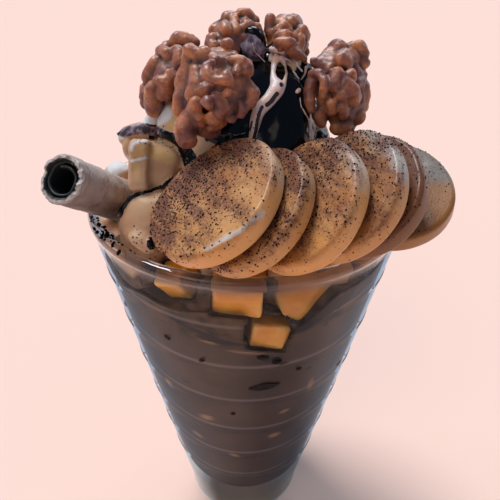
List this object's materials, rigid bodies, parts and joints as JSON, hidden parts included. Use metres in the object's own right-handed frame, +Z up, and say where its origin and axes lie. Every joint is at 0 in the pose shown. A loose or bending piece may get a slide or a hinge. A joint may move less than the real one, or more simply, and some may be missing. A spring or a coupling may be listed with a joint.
{
  "type": "chocolate milkshake in a glass",
  "caption": "Chocolate milkshake in a tapered ringed glass, heaped with whipped cream, chocolate sauce, a fan of banana slices, walnut halves and a rolled wafer.",
  "frame": {"origin": "centre of the flat foot that the glass stands on", "axes": "+Z up along the glass's axis, +X to the right and -Y to the front, where the banana slices lean over the rim"},
  "size_m": [0.0966, 0.0991, 0.1788],
  "materials": {
    "glass": "clear moulded glass, polished, faintly blue",
    "milkshake": "wet, thick milk drink, greyish chocolate brown",
    "whipped_cream": "soft cream with glossy dark sauce over it",
    "banana": "moist cut banana dusted with cocoa",
    "banana_in_drink": "moist banana stained by the drink",
    "walnut": "dry wrinkled kernel with thin skin",
    "wafer": "dry baked chocolate wafer"
  },
  "bodies": {
    "root": {"banana_1": "banana", "banana_2": "banana", "banana_3": "banana", "banana_4": "banana", "banana_5": "banana", "banana_6": "banana", "chunk_1": "banana_in_drink", "chunk_2": "banana_in_drink", "chunk_3": "banana_in_drink", "chunk_4": "banana_in_drink", "cream": "whipped_cream", "glass": "glass", "shake": "milkshake", "slab": "banana_in_drink", "wafer": "wafer", "walnut_1": "walnut", "walnut_2": "walnut", "walnut_3": "walnut", "walnut_4": "walnut", "walnut_5": "walnut"}
  },
  "joints": []
}
